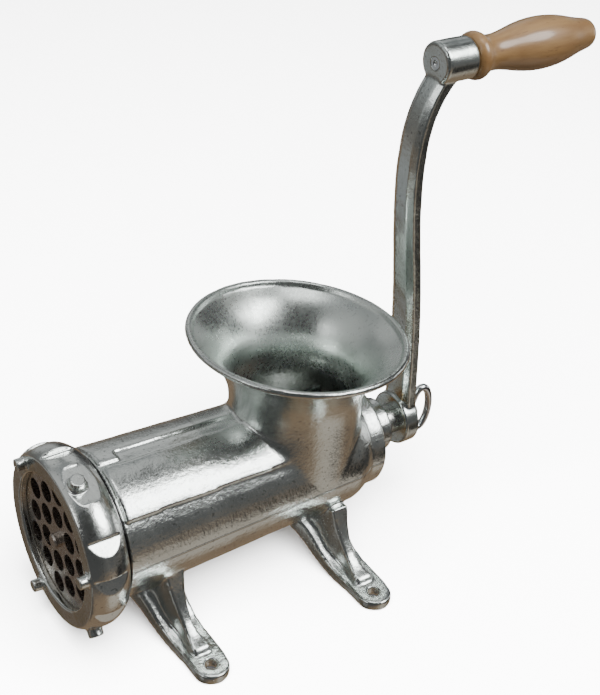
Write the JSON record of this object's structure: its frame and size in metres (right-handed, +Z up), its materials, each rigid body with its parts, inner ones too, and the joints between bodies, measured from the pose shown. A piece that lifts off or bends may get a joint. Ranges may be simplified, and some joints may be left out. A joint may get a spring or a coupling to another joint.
{
  "type": "hand crank meat grinder",
  "caption": "Bolt-down hand crank meat grinder: tinned iron barrel with flared hopper and splayed legs, screw-on ring nut over a drilled plate, and a bowed crank with a wooden grip.",
  "frame": {"origin": "centre of the four foot bolt holes, on the bench top", "axes": "+Z up, +X along the barrel from the ring nut towards the crank, +Y to the left of that"},
  "size_m": [0.412, 0.1966, 0.3652],
  "materials": {
    "tinned_casting": "hot-tinned, bright over a faint casting grain",
    "tinned_crank": "hot-tinned, satin",
    "steel": "ground",
    "plate_steel": "ground and polished",
    "plated_steel": "bright plated",
    "bronze": "machined bronze",
    "fibre": "red vulcanised fibre",
    "varnished_beech": "varnished"
  },
  "bodies": {
    "casting": {"grinder_body": "tinned_casting", "bearing_bush": "bronze", "plate_key_pin": "steel"},
    "drive": {"worm": "tinned_casting", "worm_stud": "steel", "thrust_washer": "fibre", "cross_knife": "steel", "crank_arm": "tinned_crank", "grip_screw": "plated_steel", "grip_washer": "plated_steel"},
    "grip": {"wooden_grip": "varnished_beech"},
    "plate": {"hole_plate": "plate_steel"},
    "ring": {"ring_nut": "tinned_casting"},
    "washer": {"screw_washer": "plated_steel"},
    "screw": {"thumb_screw": "plated_steel"}
  },
  "joints": [
    {"name": "crank_turn", "type": "hinge", "parent": "casting", "child": "drive", "pos_m": [0, 0, 0.075], "axis": [1, 0, 0], "continuous": true},
    {"name": "grip_spin", "type": "hinge", "parent": "drive", "child": "grip", "pos_m": [0.2, 0, 0.3479], "axis": [1, 0, 0], "continuous": true},
    {"name": "ring_travel", "type": "slide", "parent": "casting", "child": "plate", "axis": [-1, 0, 0], "range_m": [0, 0.012]},
    {"name": "ring_turn", "type": "hinge", "parent": "plate", "child": "ring", "pos_m": [-0.12, 0, 0.075], "axis": [-1, 0, 0], "range_deg": [0, 1440]},
    {"name": "screw_travel", "type": "slide", "parent": "drive", "child": "washer", "axis": [1, 0, 0], "range_m": [0, 0.0045]},
    {"name": "screw_turn", "type": "hinge", "parent": "washer", "child": "screw", "pos_m": [0.16, 0, 0.075], "axis": [1, 0, 0], "range_deg": [0, 1080]}
  ],
  "couplings": [
    {"joint": "ring_travel", "follows": "ring_turn", "m_per_rad": 0.00047746},
    {"joint": "screw_turn", "follows": "screw_travel", "rad_per_m": 4188.8}
  ]
}
